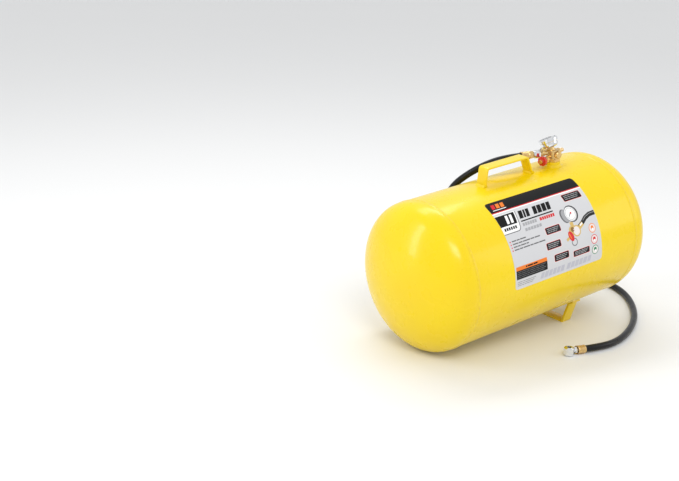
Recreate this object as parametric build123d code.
from build123d import *
import os
from math import atan2, cos, degrees, pi, radians, sin, sqrt, tan

# Portable air receiver tank. Millimetres, +Z up, origin on the floor under the middle of the tank.
# The tank leans: its left end rests on the floor and its right end stands on a bent foot.
# A turned section is (radius, start, end) along its own axis; a hexagon is (across flats, start, end).

# --- tank ---
TANK_RADIUS = 152.4           # 12 in outside diameter
HEAD_DEPTH = TANK_RADIUS / 2  # 2:1 elliptical heads
TANGENT_X = 231.0             # where each elliptical head begins
SEAM_X = 224.0                # girth seams; each head has a short straight skirt
WALL = 2.6
BEAD_WIDTH = 7.0
BEAD_RISE = 0.8
BEAD_LIFT = 0.1               # of the straight bead's chord under the shell's face
SEAM_ANGLE = 118.0            # long seam, degrees from the top towards the back
SEAM_END_GAP = 4.0            # between the long seam's ends and the girth seams
TILT = 5.5                    # the right end is this many degrees high

# --- handle and foot, bent from flat bar ---
BAR = 4.0
BAR_WIDTH = 25.0
BEND = 7.0                    # outer bend radius
HANDLE_BASE = (-79.0, 58.0)   # outer faces of the posts at the shell
HANDLE_TOP = (-73.5, 41.5)    # outer faces of the posts at the grip
HANDLE_RISE = 38.5
FOOT_X = 131.0
FOOT_BAR = 5.0
FOOT_HALF_BASE = 56.0
FOOT_HALF_TOP = 76.0
FOOT_TOP_DEPTH = 131.0        # below the tank's axis, where the legs are FOOT_HALF_TOP out
FOOT_DEPTH = 189.0            # below the tank's axis, before its underside is dressed flat
TRIM = 6.0                    # bar left on under the shell's face before it is cut to fit
WELD_LEG = 4.0
WELD_ROOT = 3.0               # weld left on under the shell's face before it is cut to fit
WELD_GAP = 0.08               # between a post's inner face and its weld's section
WELD_INSET = 1.0              # each weld stops short of the bar's edges

# --- label ---
LABEL_X = (-129.0, 118.0)
LABEL_ANGLES = (22.7, 93.0)   # degrees from the top towards the front
LABEL_THICKNESS = 0.3

# --- manifold, in its own frame: origin on the tank's crest under the brass body ---
MANIFOLD_X = 126.0
THREAD_GAP = 0.05             # radial room at a screwed joint
FACE_GAP = 0.1                # between a fitting's shoulder and the body's barrel
BUNG_RADIUS = 16.0
BUNG_BORE = 8.6
BUNG_TOP = 9.0
BUNG_BOTTOM = -7.0
BUNG_CHAMFER = 0.8
BUNG_WELD_DEPTH = -3.0
BUNG_WELD_TOE = -0.4
BODY_RADIUS = 13.0
BODY_TOP = 33.0
BODY_CHAMFER = 2.0
BODY_HEX = 27.0
BODY_HEX_TOP = 15.5
BODY_SPIGOT_END = -5.0
BODY_BORE = 4.0
BODY_BORE_TOP = 27.0
PORT_DRILL = 1.6              # radius of the hole from each port to the body's bore
GAUGE_BOSS = (7.0, 0.0, 12.8)
GAUGE_SCREW = (6.0, 14.0)     # the gauge port's threaded depth
VALVE_ARM = (6.2, 0.0, 24.0)
PORT_END = 20.0               # a port's cutter ends outside the barrel

# --- pressure gauge, in its own frame: origin at the back of the case, +Z out of the dial ---
GAUGE_BACK = 15.0             # from the port's origin
GAUGE_PORT = (0.0, 0.0, 24.0)
GAUGE_LEAN = (-22.0, -8.0)    # about X and Y: the dial looks up, back and a little left
GAUGE_TURN = 180.0            # the dial reads upright from the back
CASE_RADIUS = 18.0
CASE_DEPTH = 17.0
CASE_WALL = 1.0
CASE_BACK = ((14.5, 0.0), (17.2, 2.6))        # radius and height of the cup's outer corners
CASE_BACK_INSIDE = ((14.1, 1.0), (16.2, 3.0))
CASE_SHOULDER = 6.0
CASE_SHOULDER_INSIDE = 6.2
BEZEL_RADIUS = 20.0
BEZEL_SKIRT = 6.0             # below the case's rim
BEZEL_FRONT = 1.6             # above the case's rim
BEZEL_WINDOW = 16.6
BEZEL_SOFT = (0.8, 1.4)       # corners broken at the back and front
LENS_BACK = -0.95             # from the case's rim
LENS_FRONT = 0.55
BEZEL_LIP = 0.6
SLIP = 0.01                   # parts that touch all round
SOCKET_RADIUS = 4.5
SOCKET_TIP = -8.8
SOCKET_TOP = 4.0
SOCKET_HEX = (12.0, -2.0, -0.05)
SOCKET_BORE = (1.2, -10.0, 3.0)
SOCKET_ARM = (4.8, 9.2, 1.4)
SOCKET_ARM_PLACE = (-0.6, -8.4, 3.3)
TUBE_PATH = (11.6, -80.0, 250.0)  # radius, start and sweep in degrees
TUBE_SECTION = (1.3, 0.7)
TUBE_Z = 3.6
DIAL_Z = 11.0
DIAL_THICKNESS = 0.5
DIAL_HOLE = 1.0
PLATE = (8.0, 6.2, 7.2)
PLATE_PIVOT = (3.2, 6.2, 7.2)
PLATE_BRIDGE = (6.0, 8.0, 1.0)
PLATE_BRIDGE_Y = -8.0
PLATE_FOOT = (2.6, 4.0, 6.2)
PIVOT_PIN = (0.7, 6.2, 10.2)
ARBOR = (0.6, 7.3, 13.45)
ARBOR_HOLE = (0.65, 5.0, 8.0)
PINION_SPAN = (8.2, 9.8)
SECTOR_RATIO = 7.0
SECTOR_HALF = 24.0            # degrees
SECTOR_Z = 8.4
SECTOR_THICKNESS = 1.0
SECTOR_HUB = (1.8, 0.0, 1.2)
SECTOR_HOLE = (0.75, -1.0, 2.0)
GEAR_CENTRES = 12.0
GEAR_GAP = 0.15
POINTER_SWEEP = 270.0
POINTER_START = 135.0         # from the dial's upright
POINTER_LIFT = 1.6            # above the dial plate's back
POINTER_HUB = (2.0, 0.0, 1.4)
POINTER_HOLE = (0.6, -1.0, 0.9)
POINTER_BLADE = (0.4, 0.5)    # height over the hub's back, thickness
POINTER_OUTLINE = ((0.9, -4.5), (0.75, 3.0), (0.12, 13.0))  # half widths along the needle

# --- ports round the body: direction in degrees from +X, height above the crest ---
HOSE_PORT = (160.0, 27.0)
VALVE_PORT = (190.0, 17.0)
FILL_PORT = (0.0, 27.0)
RELIEF_PORT = (80.0, 23.2)
PLUG_PORT = (270.0, 24.8)
HOSE_TAP = (4.6, 8.3)         # radius and inner end of each port's thread
FILL_TAP = (4.2, 6.0)
RELIEF_TAP = (4.6, 6.0)
PLUG_TAP = (5.2, 6.5)
PLUG_SCREW_START = 7.0
SHOULDER = BODY_RADIUS + FACE_GAP
PLUG_HEX = (16.0, SHOULDER, 17.0)
PLUG_FACE = (7.6, 17.0, 18.5)
PLUG_CHAMFER = 0.9

# --- shut-off valve, along its port ---
VALVE_SEAT = 12.0
VALVE_BORE = 4.0
NUT_SCREW_START = 19.5
NUT_HEX = (13.0, 24.1, 29.0)
NUT_NOSE = (5.2, 29.0, 31.5)
SPINDLE_RADIUS = 2.0
SPINDLE_RUN = 0.08            # radial room in the packing nut
SPINDLE_TIP = 14.6
SPINDLE_DISC = (3.4, SPINDLE_TIP, 16.8)
SPINDLE_END = 43.0
WASHER_RADIUS = 3.2
WASHER_GAP = 0.02
KNOB_RADIUS = 10.0
KNOB_BACK = 34.5
KNOB_WIDTH = 5.5
KNOB_HUB = (5.0, KNOB_BACK - 1.2, KNOB_BACK + 6.4)
KNOB_GROOVES = 8
GROOVE_RADIUS = 2.6
GROOVE_OUT = 1.6              # groove centres outside the knob's rim
CAP_NUT_HEX = (8.0, KNOB_BACK + 6.45, KNOB_BACK + 9.85)
CAP_NUT_NOSE = (3.1, KNOB_BACK + 9.85, KNOB_BACK + 11.25)

# --- fill valve, along its port ---
FILL_SCREW_START = 6.2
FILL_HEX = (11.0, SHOULDER, 17.0)
FILL_STEM = (3.9, 17.0, 29.0)
FILL_COUNTERBORE = (1.9, 10.0, 30.0)
FILL_BORE = (0.9, 5.0, 10.1)
FILL_CORE = (1.85, 0.85, 15.0, 25.0)
FILL_PIN = (0.7, 12.6, 28.2)
FILL_PIN_SEAT = (1.5, 12.6, 14.2)
FILL_PIN_HEAD = (1.2, 27.4, 28.2)

# --- relief valve, along its port ---
RELIEF_SCREW_START = 6.2
RELIEF_HEX = (13.0, SHOULDER, 18.0)
RELIEF_BARREL = (5.6, 18.0, 31.0)
RELIEF_CHAMBER = (4.2, 16.0, 32.0)
RELIEF_BORE = (1.4, 5.0, 17.0)
RELIEF_VENT = 1.2
RELIEF_VENT_Z = 27.0
RELIEF_VENTS = 4
RELIEF_SEAL = (3.4, 16.02, 17.5)
RELIEF_DISC = (3.6, 17.5, 18.7)
RELIEF_STEM = (1.1, 18.7, 36.0)
RELIEF_EYE = (3.0, 1.4, -1.0, 1.0)
RELIEF_CAP_SCREW = (4.15, 28.5, 31.1)
RELIEF_CAP = (5.6, 31.1, 32.8)
RELIEF_CAP_HOLE = (1.25, 27.0, 34.0)
SPRING_SPAN = (22.2, 28.0)
SPRING_TURNS = 4
SPRING_RADIUS = 2.7
SPRING_WIRE = 0.35
RING_RADIUS = 10.0
RING_WIRE = 1.0
RING_Z = 38.5

# --- hose and its fittings, along the hose port ---
ADAPTER_SCREW_START = 8.5
ADAPTER_NECK = (5.0, SHOULDER, 25.0)
ADAPTER_HEX = (13.0, 25.0, 30.5)
ADAPTER_NOSE = (4.8, 30.5, 40.0)
ADAPTER_BORE = (2.0, 4.0, 41.0)
SWIVEL_HEX = (16.0, 31.0, 42.0)
SWIVEL_COLLAR = (7.0, 42.0, 45.0)
SWIVEL_BORE = (4.85, 30.0, 40.05)
SWIVEL_HOLE = (3.6, 40.0, 46.0)
STEM_NECK = (3.5, 40.2, 47.0)
STEM_HEX = (14.0, 46.5, 53.95)
STEM_BORE = (1.8, 39.0, 73.0)
STEM_BARB = (52.0, 72.0)
HOSE_DIAMETER = 14.0
HOSE_BORE = 7.0
BARB_RADIUS = HOSE_BORE / 2 - 0.02
FERRULE_RADIUS = 8.6
FERRULE_LENGTH = 19.0
FERRULE_START = 54.0          # along the hose port from the body's axis
FERRULE_END_WALL = 1.2
CRIMPS = 3
CRIMP_START = 4.5
CRIMP_PITCH = 4.2
CRIMP_DEPTH = 0.7
CRIMP_HALF = 1.0
ROUTE = [
    (39.9, 25.0, 358.1), (8.1, 36.6, 355.0), (-23.0, 55.0, 342.6), (-44.6, 85.0, 316.6),
    (-52.0, 119.0, 284.0), (-46.0, 146.0, 243.0), (-24.0, 161.0, 202.0), (6.0, 170.0, 163.0),
    (41.0, 177.0, 127.0), (79.0, 183.0, 94.0), (120.0, 189.0, 66.0), (164.0, 193.0, 42.0),
    (211.0, 193.0, 24.0), (259.0, 186.0, 12.5), (306.0, 170.0, 7.3), (350.0, 145.0, 7.3),
    (384.0, 108.0, 7.3), (401.0, 61.0, 7.3), (397.0, 11.0, 7.3), (374.0, -36.0, 7.3),
    (341.0, -78.0, 7.3), (300.0, -118.0, 7.3), (252.0, -153.0, 7.3), (201.0, -180.0, 7.3),
    (148.0, -199.0, 7.8), (97.0, -204.0, 8.7), (50.0, -193.0, 8.7),
]

# --- tyre chuck, in its own frame: origin on the hose's end, +X on along the hose ---
CHUCK_HEX = (12.0, 0.05, 6.0)
CHUCK_STEM = (4.6, 6.0, 11.0)
CHUCK_BARB = (-17.0, 0.1)
CHUCK_HEAD_X = 18.5
CHUCK_HEAD_RADIUS = 10.5
CHUCK_HEAD_HALF = 8.0
CHUCK_CHAMFER = 1.4
CHUCK_CAVITY = (7.0, -3.5, 9.0)
CHUCK_WELL = (2.4, -6.2, 0.0)
CHUCK_AIRWAY = (1.8, -18.0, 12.5)
CHUCK_FIT = 6.95              # radius of what sits in the cavity
CHUCK_SEAL = (3.2, -0.4, 3.6)
CHUCK_MOUTH = 4.3             # takes an 8 mm tyre valve
CHUCK_RING = (3.65, 9.2)
CHUCK_RING_CHAMFER = 0.5
CHUCK_PIN = (1.1, -4.1, 2.6)
CHUCK_PIN_DISC = (4.0, -1.9, -0.5)

axis_x = Axis((0, 0, 0), (1, 0, 0))


# ---------------------------------------------------------------- places

def head_reach(angle):
    """How far the tank's end reaches along a line that dips by angle below its axis."""
    dip = radians(angle)
    return TANGENT_X * sin(dip) + sqrt((HEAD_DEPTH * sin(dip)) ** 2 + (TANK_RADIUS * cos(dip)) ** 2)


TANK_PLACE = Location((0, 0, head_reach(TILT)), (0, -TILT, 0))
MANIFOLD_PLACE = TANK_PLACE * Location((MANIFOLD_X, 0, TANK_RADIUS))
GAUGE_PORT_PLACE = Location(GAUGE_PORT, (GAUGE_LEAN[0], GAUGE_LEAN[1], 0))
GAUGE_PLACE = MANIFOLD_PLACE * GAUGE_PORT_PLACE * Location((0, 0, GAUGE_BACK), (0, 0, GAUGE_TURN))


def port_place(port):
    """Frame of a port: origin on the body's axis, +Z out along the port, +X up."""
    direction, height = port
    turn = radians(direction)
    plane = Plane(origin=(0, 0, height), x_dir=(0, 0, 1), z_dir=(cos(turn), sin(turn), 0))
    return plane.location


def save(name, shape):
    """Write one node."""
    shape.label = name
    export_step(shape, "parts/" + name + ".step")


# ---------------------------------------------------------------- simple solids

def rod(radius, start, end):
    """Cylinder on the Z axis from start to end."""
    return Pos(0, 0, (start + end) / 2) * Cylinder(radius, end - start)


def pipe(outer, inner, start, end):
    """Tube on the Z axis."""
    return rod(outer, start, end) - rod(inner, start - 1, end + 1)


def hexagon(across_flats, start, end):
    """Hexagonal prism on the Z axis, with its corners turned off as on a nut."""
    sketch = RegularPolygon(across_flats / 2, 6, major_radius=False)
    prism = Pos(0, 0, start) * extrude(sketch, end - start)
    corner = across_flats / 2 / cos(pi / 6)
    return prism & chamfer(rod(corner, start, end).edges().filter_by(GeomType.CIRCLE), corner * 0.07)


def round_edges(shape):
    """Circular edges, lowest first."""
    return shape.edges().filter_by(GeomType.CIRCLE).sort_by(Axis.Z)


def turned(points):
    """Solid of revolution about Z from (radius, height) points."""
    outline = Polyline(*[(r, 0, z) for r, z in points], close=True)
    return revolve(make_face(outline), Axis.Z)


# ---------------------------------------------------------------- tank

def head_half(inset):
    """Half outline area of a tank end, from its seam to its crown, shrunk by inset."""
    radius = TANK_RADIUS - inset
    crown = EllipticalCenterArc((TANGENT_X, 0), HEAD_DEPTH - inset, radius, 0, arc_size=90)
    outline = [
        crown,
        Line((TANGENT_X, radius), (SEAM_X, radius)),
        Line((SEAM_X, radius), (SEAM_X, 0)),
        Line((SEAM_X, 0), (TANGENT_X + HEAD_DEPTH - inset, 0)),
    ]
    return make_face(outline)


def make_head(side):
    """One pressed end. side is 1 for the right end and -1 for the left end."""
    end = revolve(head_half(0), axis_x) - revolve(head_half(WALL), axis_x)
    return end if side > 0 else mirror(end, Plane.YZ)


def tank_cylinder(radius, start, end):
    """Cylinder on the tank's axis."""
    return Pos((start + end) / 2, 0, 0) * Rot(0, 90, 0) * Cylinder(radius, end - start)


def inside_shell():
    """Everything inside the shell's outer face."""
    return tank_cylinder(TANK_RADIUS, -SEAM_X, SEAM_X)


def make_shell():
    """Rolled tube with a hole for the bung."""
    tube = inside_shell() - tank_cylinder(TANK_RADIUS - WALL, -SEAM_X, SEAM_X)
    return tube - Pos(MANIFOLD_X, 0, TANK_RADIUS) * Cylinder(BUNG_RADIUS, TANK_RADIUS / 2)


def bead_outline(width, rise):
    """Low arc over a chord, as a weld bead's section."""
    chord = Line((-width / 2, 0), (width / 2, 0))
    arc = ThreePointArc((width / 2, 0), (0, rise), (-width / 2, 0))
    return make_face([chord, arc])


def make_girth_weld(side):
    """Bead round the joint of shell and head."""
    section = Pos(side * SEAM_X, TANK_RADIUS, 0) * bead_outline(BEAD_WIDTH, BEAD_RISE)
    return revolve(section, axis_x)


def make_seam_weld():
    """Straight bead along the shell's long joint, on the back."""
    end = SEAM_X - SEAM_END_GAP
    section = Pos(-end, 0, TANK_RADIUS - BEAD_LIFT) * (Plane.YZ * bead_outline(BEAD_WIDTH, BEAD_RISE))
    return Rot(-SEAM_ANGLE, 0, 0) * extrude(section, 2 * end) - inside_shell()


def make_bung():
    """Threaded half coupling that stands through the shell."""
    ring = pipe(BUNG_RADIUS, BUNG_BORE, BUNG_BOTTOM, BUNG_TOP)
    return chamfer(round_edges(ring)[-2:], BUNG_CHAMFER)


def make_bung_weld():
    """Fillet weld round the bung."""
    toe = BUNG_RADIUS + WELD_LEG + 1
    section = [
        (BUNG_RADIUS, BUNG_WELD_DEPTH),
        (toe, BUNG_WELD_DEPTH),
        (toe, BUNG_WELD_TOE),
        (BUNG_RADIUS, WELD_LEG),
    ]
    return turned(section) - Pos(-MANIFOLD_X, 0, -TANK_RADIUS) * tank_cylinder(TANK_RADIUS, 0, SEAM_X)


# ---------------------------------------------------------------- handle and foot

def bent_bar(points, thickness):
    """Flat bar profile in a plane: an open outline of outer corners, thickened inwards."""
    outer = FilletPolyline(*points, radius=BEND)
    inner = FilletPolyline(*inset_corners(points, thickness), radius=BEND - thickness)
    ends = [Line(outer @ 0, inner @ 0), Line(outer @ 1, inner @ 1)]
    return make_face([outer, inner] + ends)


def inset_corners(points, thickness):
    """Corners of the inner face of a bar whose outer face has these corners."""
    vectors = [Vector(*p) for p in points]
    middle = sum(vectors, Vector(0, 0)) / len(vectors)
    lines = []
    for start, end in zip(vectors, vectors[1:]):
        along = (end - start).normalized()
        across = Vector(-along.Y, along.X)
        if across.dot(middle - start) < 0:
            across = across * -1
        lines.append((start + across * thickness, along))
    corners = [lines[0][0]]
    for (first, along), (second, other) in zip(lines, lines[1:]):
        gap = second - first
        reach = (gap.X * other.Y - gap.Y * other.X) / (along.X * other.Y - along.Y * other.X)
        corners.append(first + along * reach)
    corners.append(lines[-1][0] + lines[-1][1] * (vectors[-1] - vectors[-2]).length)
    return [(c.X, c.Y) for c in corners]


def make_handle():
    """Carrying handle: one flat bar bent into a low bridge, its posts welded to the crest."""
    slope = [(base - top) / HANDLE_RISE for base, top in zip(HANDLE_BASE, HANDLE_TOP)]
    corners = [
        (HANDLE_BASE[0] + slope[0] * TRIM, TANK_RADIUS - TRIM),
        (HANDLE_TOP[0], TANK_RADIUS + HANDLE_RISE),
        (HANDLE_TOP[1], TANK_RADIUS + HANDLE_RISE),
        (HANDLE_BASE[1] + slope[1] * TRIM, TANK_RADIUS - TRIM),
    ]
    profile = Plane.XZ * bent_bar(corners, BAR)
    return extrude(profile, BAR_WIDTH / 2, both=True) - inside_shell()


def make_handle_welds(handle):
    """Fillet welds along the outer and inner faces of both posts."""
    wedge = [(0, -WELD_ROOT), (WELD_LEG, -WELD_ROOT), (WELD_LEG, 0), (0, WELD_LEG)]
    welds = []
    for base, side in zip(HANDLE_BASE, (-1, 1)):
        for face_x, way in ((base, side), (base - side * (BAR + WELD_GAP), -side)):
            outline = Polyline(*[(way * x, z) for x, z in wedge], close=True)
            section = Pos(face_x, 0, TANK_RADIUS) * (Plane.XZ * make_face(outline))
            welds.append(extrude(section, BAR_WIDTH / 2 - WELD_INSET, both=True))
    cutter = inside_shell() + handle
    return Compound([solid for weld in welds for solid in (weld - cutter).solids()])


def make_foot():
    """Foot: one flat bar bent into a wide U under the belly, its underside flat on the floor."""
    rise = FOOT_DEPTH - TANK_RADIUS / 2
    slope = (FOOT_HALF_TOP - FOOT_HALF_BASE) / (FOOT_DEPTH - FOOT_TOP_DEPTH)
    top = FOOT_HALF_BASE + slope * rise
    corners = [
        (-top, -FOOT_DEPTH + rise),
        (-FOOT_HALF_BASE, -FOOT_DEPTH),
        (FOOT_HALF_BASE, -FOOT_DEPTH),
        (top, -FOOT_DEPTH + rise),
    ]
    profile = Plane.YZ * bent_bar(corners, FOOT_BAR)
    bar = Pos(FOOT_X, 0, 0) * extrude(profile, BAR_WIDTH / 2, both=True) - inside_shell()
    below = Pos(0, 0, -TANK_RADIUS) * Box(4 * TANK_RADIUS, 4 * TANK_RADIUS, 2 * TANK_RADIUS)
    return TANK_PLACE * bar.solids().sort_by(Axis.Z)[0] - below


def make_foot_welds(foot):
    """Fillet welds where the two legs meet the belly."""
    turn = degrees(atan2(FOOT_HALF_TOP, FOOT_TOP_DEPTH))
    block = Pos(0, 0, -TANK_RADIUS) * Box(BAR_WIDTH - 2 * WELD_INSET, 2.4 * WELD_LEG, 2 * WELD_LEG)
    welds = [Pos(FOOT_X, 0, 0) * Rot(side * turn, 0, 0) * block for side in (-1, 1)]
    welds = [TANK_PLACE * (weld - inside_shell()) - foot for weld in welds]
    return Compound([solid for weld in welds for solid in weld.solids()])


# ---------------------------------------------------------------- label

def make_label():
    """Sticker that wraps the front of the shell."""
    low, high = LABEL_X
    start, end = LABEL_ANGLES
    strip = Rectangle(high - low, LABEL_THICKNESS, align=(Align.CENTER, Align.MIN))
    section = Rot(start, 0, 0) * Pos((low + high) / 2, 0, TANK_RADIUS) * (Plane.XZ * strip)
    return revolve(section, axis_x, end - start)


# ---------------------------------------------------------------- manifold

def screw(tap, start):
    """Plain shank that fills a threaded port from start to the body's face."""
    return rod(tap[0] - THREAD_GAP, start, SHOULDER)


def make_body():
    """Brass body: threaded spigot, wrench hexagon, barrel and ports."""
    foot = BUNG_TOP + FACE_GAP
    barrel = rod(BODY_RADIUS, BODY_HEX_TOP - 0.5, BODY_TOP)
    body = rod(BUNG_BORE - THREAD_GAP, BODY_SPIGOT_END, foot) + hexagon(BODY_HEX, foot, BODY_HEX_TOP)
    body = body + chamfer(round_edges(barrel)[-1], BODY_CHAMFER)
    body = body + GAUGE_PORT_PLACE * rod(*GAUGE_BOSS) + port_place(VALVE_PORT) * rod(*VALVE_ARM)
    body = body - rod(BODY_BORE, BODY_SPIGOT_END - 1, BODY_BORE_TOP)
    body = body - GAUGE_PORT_PLACE * rod(SOCKET_RADIUS + THREAD_GAP, *GAUGE_SCREW)
    for port, (radius, depth) in (
        (HOSE_PORT, HOSE_TAP),
        (FILL_PORT, FILL_TAP),
        (RELIEF_PORT, RELIEF_TAP),
        (PLUG_PORT, PLUG_TAP),
        (VALVE_PORT, (VALVE_BORE, VALVE_SEAT)),
    ):
        body = body - port_place(port) * rod(radius, depth, PORT_END + radius * 2)
        body = body - port_place(port) * rod(PORT_DRILL, 0, depth + FACE_GAP)
    return body.solids().sort_by(SortBy.VOLUME)[-1]


def make_port_plug():
    """Blanking plug with a wide round face."""
    face = rod(*PLUG_FACE)
    plug = screw(PLUG_TAP, PLUG_SCREW_START) + hexagon(*PLUG_HEX)
    return plug + chamfer(round_edges(face)[-1], PLUG_CHAMFER)


# ---------------------------------------------------------------- shut-off valve

def make_packing_nut():
    """Nut that holds the spindle in the valve's arm."""
    nut = rod(VALVE_BORE - THREAD_GAP, NUT_SCREW_START, NUT_HEX[1]) + hexagon(*NUT_HEX) + rod(*NUT_NOSE)
    return nut - rod(SPINDLE_RADIUS + SPINDLE_RUN, NUT_SCREW_START - 1, NUT_NOSE[2] + 1)


def make_valve_spindle():
    """Spindle with a disc at its inner end."""
    return rod(*SPINDLE_DISC) + rod(SPINDLE_RADIUS, SPINDLE_DISC[2], SPINDLE_END)


def make_valve_washer():
    """Rubber washer that closes the seat."""
    return rod(WASHER_RADIUS, VALVE_SEAT + WASHER_GAP, SPINDLE_TIP)


def make_valve_knob():
    """Round red knob with finger grooves."""
    front = KNOB_BACK + KNOB_WIDTH
    wheel = rod(KNOB_RADIUS, KNOB_BACK, front) + rod(*KNOB_HUB)
    groove = Pos(KNOB_RADIUS + GROOVE_OUT, 0, 0) * rod(GROOVE_RADIUS, KNOB_BACK - 1, front + 1)
    for i in range(KNOB_GROOVES):
        wheel = wheel - Rot(0, 0, 360 / KNOB_GROOVES * i) * groove
    return wheel - rod(SPINDLE_RADIUS + THREAD_GAP, KNOB_HUB[1] - 1, KNOB_HUB[2] + 1)


def make_knob_nut():
    """Brass cap nut that holds the knob on its spindle."""
    nut = hexagon(*CAP_NUT_HEX) + rod(*CAP_NUT_NOSE)
    return nut - rod(SPINDLE_RADIUS + THREAD_GAP, CAP_NUT_HEX[1] - 1, SPINDLE_END + FACE_GAP)


# ---------------------------------------------------------------- fill valve

def make_fill_valve():
    """Tyre-type filling valve body."""
    body = screw(FILL_TAP, FILL_SCREW_START) + hexagon(*FILL_HEX) + rod(*FILL_STEM)
    return body - rod(*FILL_COUNTERBORE) - rod(*FILL_BORE)


def make_fill_core():
    """Core barrel pressed in the filling valve."""
    return pipe(*FILL_CORE)


def make_fill_pin():
    """Sprung pin of the filling valve."""
    return rod(*FILL_PIN) + rod(*FILL_PIN_SEAT) + rod(*FILL_PIN_HEAD)


# ---------------------------------------------------------------- relief valve

def make_relief_body():
    """Safety valve body with a wrench hexagon and vent holes."""
    body = screw(RELIEF_TAP, RELIEF_SCREW_START) + hexagon(*RELIEF_HEX) + rod(*RELIEF_BARREL)
    body = body - rod(*RELIEF_CHAMBER) - rod(*RELIEF_BORE)
    vent = Pos(RELIEF_BARREL[0], 0, RELIEF_VENT_Z) * Rot(0, 90, 0) * Cylinder(RELIEF_VENT, RELIEF_BARREL[0])
    for i in range(RELIEF_VENTS):
        body = body - Rot(0, 0, 360 / RELIEF_VENTS * i) * vent
    return body


def make_relief_seal():
    """Rubber disc that closes the safety valve's seat."""
    return rod(*RELIEF_SEAL)


def make_relief_stem():
    """Stem with its disc and the eye for the ring."""
    eye = Pos(0, 0, RING_Z) * Rot(90, 0, 0) * pipe(*RELIEF_EYE)
    return rod(*RELIEF_DISC) + rod(*RELIEF_STEM) + eye


def make_relief_cap():
    """Screwed cap that holds the spring."""
    return rod(*RELIEF_CAP_SCREW) + rod(*RELIEF_CAP) - rod(*RELIEF_CAP_HOLE)


def make_relief_spring():
    """Spring between the disc and the cap."""
    low, high = SPRING_SPAN
    helix = Pos(0, 0, low) * Helix((high - low) / SPRING_TURNS, high - low, SPRING_RADIUS)
    section = Plane(origin=helix @ 0, z_dir=helix % 0) * Circle(SPRING_WIRE)
    return sweep(section, helix, is_frenet=True)


def make_pull_ring():
    """Ring that hangs in the stem's eye."""
    return Pos(-RING_RADIUS, 0, RING_Z) * Torus(RING_RADIUS, RING_WIRE)


# ---------------------------------------------------------------- gauge

def make_gauge_case():
    """Pressed cup, narrower at the back."""
    rim = CASE_DEPTH - 1
    bore = CASE_RADIUS - CASE_WALL
    outer = turned([(0, 0), *CASE_BACK, (CASE_RADIUS, CASE_SHOULDER), (CASE_RADIUS, rim), (0, rim)])
    inner = turned([
        (0, CASE_WALL),
        *CASE_BACK_INSIDE,
        (bore, CASE_SHOULDER_INSIDE),
        (bore, CASE_DEPTH),
        (0, CASE_DEPTH),
    ])
    return outer - inner - rod(SOCKET_RADIUS + SLIP, -1, 2 * CASE_WALL)


def make_gauge_bezel():
    """Bright ring that holds the lens."""
    low = CASE_DEPTH - BEZEL_SKIRT
    top = CASE_DEPTH + BEZEL_FRONT
    lip = CASE_DEPTH + BEZEL_LIP
    back, front = BEZEL_SOFT
    return turned([
        (CASE_RADIUS + SLIP, low),
        (BEZEL_RADIUS - back, low),
        (BEZEL_RADIUS, low + back),
        (BEZEL_RADIUS, top - front),
        (BEZEL_RADIUS - front, top),
        (BEZEL_WINDOW, top),
        (BEZEL_WINDOW, lip),
        (CASE_RADIUS + SLIP, lip),
    ])


def make_gauge_lens():
    """Clear window."""
    return rod(CASE_RADIUS - FACE_GAP, CASE_DEPTH + LENS_BACK, CASE_DEPTH + LENS_FRONT)


def make_gauge_dial():
    """Dial plate."""
    return pipe(CASE_RADIUS - CASE_WALL - THREAD_GAP, DIAL_HOLE, DIAL_Z, DIAL_Z + DIAL_THICKNESS)


def make_gauge_pointer():
    """Pointer and its boss."""
    right = list(POINTER_OUTLINE)
    left = [(-x, y) for x, y in reversed(right)]
    blade = extrude(make_face(Polyline(*right, *left, close=True)), POINTER_BLADE[1])
    pointer = rod(*POINTER_HUB) + Pos(0, 0, POINTER_BLADE[0]) * blade - rod(*POINTER_HOLE)
    return Pos(0, 0, DIAL_Z + POINTER_LIFT) * Rot(0, 0, POINTER_START) * pointer


def make_pinion():
    """Arbor and pinion that carry the pointer."""
    return rod(*ARBOR) + rod(GEAR_CENTRES / (SECTOR_RATIO + 1) - GEAR_GAP, *PINION_SPAN)


def make_sector():
    """Toothed sector that turns the pinion."""
    reach = GEAR_CENTRES * SECTOR_RATIO / (SECTOR_RATIO + 1) - GEAR_GAP
    corner = (reach * sin(radians(SECTOR_HALF)), reach * cos(radians(SECTOR_HALF)))
    mirrored = (-corner[0], corner[1])
    fan = make_face([
        Line((0, 0), mirrored),
        ThreePointArc(mirrored, (0, reach), corner),
        Line(corner, (0, 0)),
    ])
    sector = extrude(fan, SECTOR_THICKNESS) + rod(*SECTOR_HUB) - rod(*SECTOR_HOLE)
    return Pos(0, -GEAR_CENTRES, SECTOR_Z) * Rot(0, 0, -POINTER_SWEEP / SECTOR_RATIO / 2) * sector


def make_movement_plate():
    """Plate that carries the arbor and the sector's pin."""
    bridge = Pos(0, PLATE_BRIDGE_Y, (PLATE[1] + PLATE[2]) / 2) * Box(*PLATE_BRIDGE)
    pivot = Pos(0, -GEAR_CENTRES, 0) * (rod(*PLATE_PIVOT) + rod(*PIVOT_PIN))
    return rod(*PLATE) + bridge + pivot + rod(*PLATE_FOOT) - rod(*ARBOR_HOLE)


def make_bourdon_tube():
    """Curved pressure tube, open to the socket at one end and closed at the other."""
    radius, start, turn = TUBE_PATH
    path = CenterArc((0, 0), radius, start, turn)
    section = Plane(origin=path @ 0, z_dir=path % 0, x_dir=(0, 0, 1)) * Ellipse(*TUBE_SECTION)
    return Pos(0, 0, TUBE_Z) * sweep(section, path)


def make_gauge_socket():
    """Stem with wrench flats that joins the gauge to the body."""
    arm = Pos(*SOCKET_ARM_PLACE) * Box(*SOCKET_ARM)
    return rod(SOCKET_RADIUS, SOCKET_TIP, SOCKET_TOP) + hexagon(*SOCKET_HEX) + arm - rod(*SOCKET_BORE)


# ---------------------------------------------------------------- hose fittings

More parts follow.
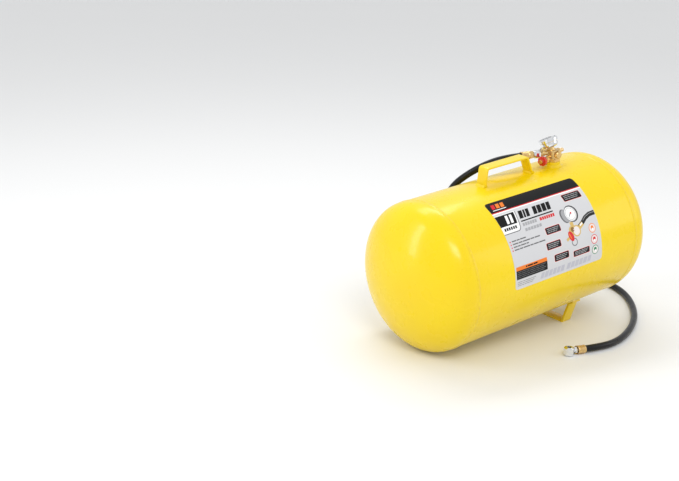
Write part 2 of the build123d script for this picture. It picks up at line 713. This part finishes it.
def make_hose_adapter():
    """Brass nipple from the body to the swivel."""
    nipple = screw(HOSE_TAP, ADAPTER_SCREW_START) + rod(*ADAPTER_NECK)
    return nipple + hexagon(*ADAPTER_HEX) + rod(*ADAPTER_NOSE) - rod(*ADAPTER_BORE)


def make_swivel_nut():
    """Bright swivel nut."""
    return hexagon(*SWIVEL_HEX) + rod(*SWIVEL_COLLAR) - rod(*SWIVEL_BORE) - rod(*SWIVEL_HOLE)


def make_hose_stem():
    """Hose end: collar, wrench hexagon and the barb inside the hose."""
    return rod(*STEM_NECK) + hexagon(*STEM_HEX) + rod(BARB_RADIUS, *STEM_BARB) - rod(*STEM_BORE)


def make_ferrule():
    """Crimped sleeve, from its closed end at zero."""
    sleeve = rod(FERRULE_RADIUS, 0, FERRULE_LENGTH) - rod(HOSE_BORE / 2, -1, FERRULE_END_WALL + 1)
    sleeve = sleeve - rod(HOSE_DIAMETER / 2, FERRULE_END_WALL, FERRULE_LENGTH + 1)
    groove = pipe(FERRULE_RADIUS + 1, FERRULE_RADIUS - CRIMP_DEPTH, -CRIMP_HALF, CRIMP_HALF)
    for i in range(CRIMPS):
        sleeve = sleeve - Pos(0, 0, CRIMP_START + CRIMP_PITCH * i) * groove
    return sleeve


# ---------------------------------------------------------------- hose

def route_radii(points):
    """Arc radius at each inner corner: 0.45 of the shorter run over the tangent of half the turn."""
    vectors = [Vector(*p) for p in points]
    radii = []
    for before, here, after in zip(vectors, vectors[1:], vectors[2:]):
        turn = radians((here - before).get_angle(after - here))
        shorter = min((here - before).length, (after - here).length)
        radii.append(0.45 * shorter / tan(turn / 2))
    return radii


def make_hose():
    """Rubber hose along its route. Prints its radii, its length and a check of its volume."""
    radii = route_radii(ROUTE)
    path = FilletPolyline(*ROUTE, radius=radii)
    hose = sweep(Plane(origin=path @ 0, z_dir=path % 0) * Circle(HOSE_DIAMETER / 2), path)
    section = pi * HOSE_DIAMETER ** 2 / 4
    print("hose radii", [round(radius) for radius in radii])
    print("hose length", round(path.length, 1), "volume ratio", round(hose.volume / section / path.length, 6))
    return hose


# ---------------------------------------------------------------- chuck

def make_chuck_body():
    """Chuck: stem with a hexagon, and a round head across its end."""
    along = Rot(0, 90, 0)
    head = rod(CHUCK_HEAD_RADIUS, -CHUCK_HEAD_HALF, CHUCK_HEAD_HALF)
    head = Pos(CHUCK_HEAD_X, 0, 0) * chamfer(round_edges(head), CHUCK_CHAMFER)
    body = along * (hexagon(*CHUCK_HEX) + rod(*CHUCK_STEM)) + head + along * rod(BARB_RADIUS, *CHUCK_BARB)
    body = body - Pos(CHUCK_HEAD_X, 0, 0) * (rod(*CHUCK_CAVITY) + rod(*CHUCK_WELL))
    return body - along * rod(*CHUCK_AIRWAY)


def make_chuck_seal():
    """Rubber seal with a hole for the tyre valve."""
    return Pos(CHUCK_HEAD_X, 0, 0) * pipe(CHUCK_FIT, *CHUCK_SEAL)


def make_chuck_ring():
    """Screwed ring that holds the seal and guides the tyre valve."""
    ring = pipe(CHUCK_FIT, CHUCK_MOUTH, *CHUCK_RING)
    return Pos(CHUCK_HEAD_X, 0, 0) * chamfer(round_edges(ring)[-2:], CHUCK_RING_CHAMFER)


def make_chuck_pin():
    """Sprung pin that opens the tyre valve."""
    return Pos(CHUCK_HEAD_X, 0, 0) * (rod(*CHUCK_PIN) + rod(*CHUCK_PIN_DISC))


# ---------------------------------------------------------------- whole tank

def tank_nodes():
    """Tank, handle, foot, label and their welds."""
    handle = make_handle()
    foot = make_foot()
    nodes = {
        "shell": make_shell(),
        "left_head": make_head(-1),
        "right_head": make_head(1),
        "left_girth_weld": make_girth_weld(-1),
        "right_girth_weld": make_girth_weld(1),
        "seam_weld": make_seam_weld(),
        "handle": handle,
        "handle_welds": make_handle_welds(handle),
        "label": make_label(),
    }
    placed = {name: TANK_PLACE * shape for name, shape in nodes.items()}
    return placed | {"foot": foot, "foot_welds": make_foot_welds(foot)}


def manifold_nodes():
    """Bung, brass body and everything screwed into its ports."""
    nodes = {"bung": make_bung(), "bung_weld": make_bung_weld(), "manifold_body": make_body()}
    ports = {
        VALVE_PORT: {
            "packing_nut": make_packing_nut(),
            "valve_spindle": make_valve_spindle(),
            "valve_washer": make_valve_washer(),
            "valve_knob": make_valve_knob(),
            "knob_nut": make_knob_nut(),
        },
        FILL_PORT: {
            "fill_valve": make_fill_valve(),
            "fill_core": make_fill_core(),
            "fill_pin": make_fill_pin(),
        },
        RELIEF_PORT: {
            "relief_body": make_relief_body(),
            "relief_seal": make_relief_seal(),
            "relief_stem": make_relief_stem(),
            "relief_cap": make_relief_cap(),
            "relief_spring": make_relief_spring(),
            "pull_ring": make_pull_ring(),
        },
        PLUG_PORT: {"port_plug": make_port_plug()},
        HOSE_PORT: {
            "hose_adapter": make_hose_adapter(),
            "swivel_nut": make_swivel_nut(),
            "hose_stem": make_hose_stem(),
            "hose_ferrule": Pos(0, 0, FERRULE_START) * make_ferrule(),
        },
    }
    for port, shapes in ports.items():
        nodes |= {name: port_place(port) * shape for name, shape in shapes.items()}
    return {name: MANIFOLD_PLACE * shape for name, shape in nodes.items()}


def gauge_nodes():
    """Pressure gauge and its movement."""
    nodes = {
        "gauge_socket": make_gauge_socket(),
        "gauge_case": make_gauge_case(),
        "gauge_bezel": make_gauge_bezel(),
        "gauge_lens": make_gauge_lens(),
        "gauge_dial": make_gauge_dial(),
        "gauge_pointer": make_gauge_pointer(),
        "pointer_pinion": make_pinion(),
        "sector_gear": make_sector(),
        "movement_plate": make_movement_plate(),
        "bourdon_tube": make_bourdon_tube(),
    }
    return {name: GAUGE_PLACE * shape for name, shape in nodes.items()}


def chuck_nodes():
    """Tyre chuck on the hose's free end."""
    last = Vector(*ROUTE[-1])
    onward = (last - Vector(*ROUTE[-2])).normalized()
    place = Plane(origin=last + onward * FERRULE_LENGTH, x_dir=onward, z_dir=(0, 0, 1)).location
    nodes = {
        "chuck_ferrule": Rot(0, -90, 0) * make_ferrule(),
        "chuck_body": make_chuck_body(),
        "chuck_seal": make_chuck_seal(),
        "chuck_ring": make_chuck_ring(),
        "chuck_pin": make_chuck_pin(),
    }
    return {name: place * shape for name, shape in nodes.items()}


def main():
    """Write every node to its own file."""
    os.makedirs("parts", exist_ok=True)
    nodes = tank_nodes() | manifold_nodes() | gauge_nodes() | {"hose": make_hose()} | chuck_nodes()
    for name, shape in nodes.items():
        save(name, shape)
    print(len(nodes), "nodes")


main()
